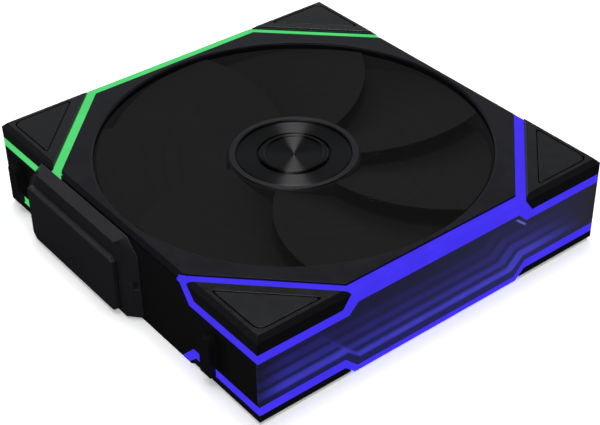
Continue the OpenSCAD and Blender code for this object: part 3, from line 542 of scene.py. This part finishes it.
ring_group, add, given = node_group(
    "turned_rings",
    [("Pitch", NUMBER, 0.3), ("Low", NUMBER, 0.8), ("High", NUMBER, 1.2)],
    [("Tone", NUMBER), ("Height", NUMBER)])
place = add("ShaderNodeTexCoord").outputs["Object"]
flat = add("ShaderNodeVectorMath", {0: place, 1: (1, 1, 0)}, operation="MULTIPLY")
radius = add("ShaderNodeVectorMath", {0: flat.outputs[0]}, operation="LENGTH")
radius_mm = add("ShaderNodeMath", {0: radius.outputs["Value"], 1: 1 / mm}, operation="MULTIPLY")
turns = add("ShaderNodeMath", {0: radius_mm.outputs[0], 1: given["Pitch"]}, operation="DIVIDE")
tracks = add("ShaderNodeTexNoise", {"W": turns.outputs[0], "Scale": 1.0, "Detail": 3.0,
                                    "Roughness": 0.6}, noise_dimensions="1D")
tone = add("ShaderNodeMapRange", {"Value": tracks.outputs[0], "From Min": 0.25, "From Max": 0.75,
                                  "To Min": given["Low"], "To Max": given["High"]})
add("NodeGroupOutput", {"Tone": tone.outputs[0], "Height": tracks.outputs[0]})

impeller_plastic, add = new_material("impeller_plastic")
rings = add("ShaderNodeGroup", {"Pitch": 2.6, "Low": 0.85, "High": 1.15}, node_tree=ring_group)
skin = add("ShaderNodeGroup", {"Colour": (0.0028, 0.0028, 0.0028, 1), "Roughness": 0.6},
           node_tree=grain_group)
toned = add("ShaderNodeVectorMath", {0: skin.outputs["Colour"], "Scale": rings.outputs["Tone"]},
            operation="SCALE")
bump = add("ShaderNodeBump", {"Height": skin.outputs["Height"], "Strength": 0.5, "Distance": 0.01 * mm})
# painted glow: a faint even emission stands in for the even grey of a turning rotor
shader = add("ShaderNodeBsdfPrincipled", {
    "Base Color": toned.outputs[0], "Roughness": skin.outputs["Roughness"],
    "Normal": bump.outputs[0], "Specular IOR Level": 0.06,
    "Emission Color": (0.0056, 0.0056, 0.0056, 1), "Emission Strength": 1.0})
add("ShaderNodeOutputMaterial", {"Surface": shader.outputs[0]})
impeller_mesh.materials.append(impeller_plastic)
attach(impeller, "rotor")
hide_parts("impeller")

# ---------- hub dress ----------
# A satin aluminium ring frames a lathe-turned disc. The turning marks run round the axis, so a
# light above stretches into two bright wedges on it.


def turned(name, colour, roughness, anisotropic, pitch, depth):
    """Lathe-turned metal whose fine tracks run round the rotor axis."""
    material, add = new_material(name)
    rings = add("ShaderNodeGroup", {"Pitch": pitch, "Low": 0.86, "High": 1.12},
                node_tree=ring_group)
    paint = add("ShaderNodeVectorMath", {0: colour, "Scale": rings.outputs["Tone"]}, operation="SCALE")
    bump = add("ShaderNodeBump", {"Height": rings.outputs["Height"], "Strength": 0.4,
                                  "Distance": depth * mm})
    around = add("ShaderNodeTangent", direction_type="RADIAL", axis="Z")
    shader = add("ShaderNodeBsdfPrincipled", {
        "Base Color": paint.outputs[0], "Metallic": 1.0, "Roughness": roughness,
        "Anisotropic": anisotropic, "Anisotropic Rotation": 0.25, "Tangent": around.outputs[0],
        "Normal": bump.outputs[0]})
    add("ShaderNodeOutputMaterial", {"Surface": shader.outputs[0]})
    return material


dress("hub_trim_ring", turned("trim_metal", (0.052, 0.052, 0.058), 0.42, 0.3, 0.2, 0.004))
dress("hub_disc", turned("disc_metal", (0.04, 0.04, 0.041), 0.28, 1.0, 0.12, 0.001))

# ---------- rotor inside ----------
# A drawn steel yoke is pressed into the hub cup. It holds a moulded ferrite ring and the ground
# shaft.

steel = metal("steel", (0.55, 0.55, 0.57), 0.3)
ferrite = moulded("ferrite", (0.03, 0.03, 0.032), 0.6, mottle=0.5, grain=1200.0)
dress("rotor_yoke", steel)
dress("magnet_ring", ferrite)
dress("shaft", steel)

# ---------- bearing and stator ----------
# A brass tube carries a sintered bronze sleeve, a thrust plate and a retaining ring. Round it sit
# the laminated four-pole core, its two white nylon insulators and four copper windings.

brass = metal("brass", (0.72, 0.52, 0.22), 0.3)
bronze = metal("bronze", (0.5, 0.3, 0.16), 0.5, scratches=2500.0)
white_plastic = moulded("white_plastic", (0.72, 0.71, 0.66), 0.45, mottle=0.06)
dress("bearing_tube", brass)
dress("bearing_sleeve", bronze)
dress("thrust_plate", white_plastic)
dress("retaining_ring", white_plastic)
dress("stator_insulator_upper", white_plastic)
dress("stator_insulator_lower", white_plastic)


def layered(name, colour, pitch, depth, metallic, roughness):
    """A stack of sheets or a layer of wire: bands pitch mm apart up the rotor axis."""
    material, add = new_material(name)
    place = add("ShaderNodeTexCoord").outputs["Object"]
    spot = add("ShaderNodeSeparateXYZ", {0: place})
    layer = add("ShaderNodeMath", {0: spot.outputs["Z"], 1: pitch * mm / (2 * pi)}, operation="DIVIDE")
    wave = add("ShaderNodeMath", {0: layer.outputs[0]}, operation="SINE")
    tone = add("ShaderNodeMapRange", {"Value": wave.outputs[0], "From Min": -1.0, "To Min": 0.7,
                                      "To Max": 1.1})
    paint = add("ShaderNodeVectorMath", {0: colour, "Scale": tone.outputs[0]}, operation="SCALE")
    bump = add("ShaderNodeBump", {"Height": wave.outputs[0], "Strength": 0.8, "Distance": depth * mm})
    shader = add("ShaderNodeBsdfPrincipled", {
        "Base Color": paint.outputs[0], "Metallic": metallic, "Roughness": roughness,
        "Normal": bump.outputs[0]})
    add("ShaderNodeOutputMaterial", {"Surface": shader.outputs[0]})
    return material


dress("stator_core", layered("lamination", (0.32, 0.32, 0.34), 0.5, 0.03, 1.0, 0.45))
dress("stator_coils", layered("copper", (0.6, 0.22, 0.08), 0.25, 0.04, 1.0, 0.3))

# ---------- motor board, leads and rear cover ----------
# A round board with the driver chip, the sensor and three capacitors sits in the bracket's cup.
# Flat black leads run along two struts. A dark aluminium disc closes the cup from behind.

chip_black = moulded("chip", (0.02, 0.02, 0.02), 0.4)
wire_black = moulded("wire", (0.012, 0.012, 0.013), 0.5, grain=1200.0)
dress("motor_board", board_green)
dress("motor_board_parts", chip_black)
dress("motor_wires_left", wire_black)
dress("motor_wires_right", wire_black)
dress("motor_cover", turned("rear_cover", (0.12, 0.12, 0.125), 0.34, 0.7, 0.15, 0.003), 0.1)

# ---------- link contacts ----------
# Small boards with seven gilt pads lie in recesses of both linking sides, where the next fan or
# the cable module presses its own contacts on them.

contact_gold = metal("contact_gold", (0.83, 0.6, 0.24), 0.25)
for side in ("left", "right"):
    dress("link_board_" + side, board_green)
    dress("link_contacts_" + side, contact_gold)

# ---------- cable module ----------
# The clip-on module plugs into the left side. Its faceted base and raised cover are black ABS,
# snapped together round a small board.

module_plastic = moulded("module_plastic", (0.023, 0.023, 0.0255), 0.36, specular=0.2, mottle=0.25,
                         spread=0.12)
dress("module_base", module_plastic, 0.2)
dress("module_cover", module_plastic, 0.2)
dress("module_board", board_green)
dress("module_contacts", contact_gold)
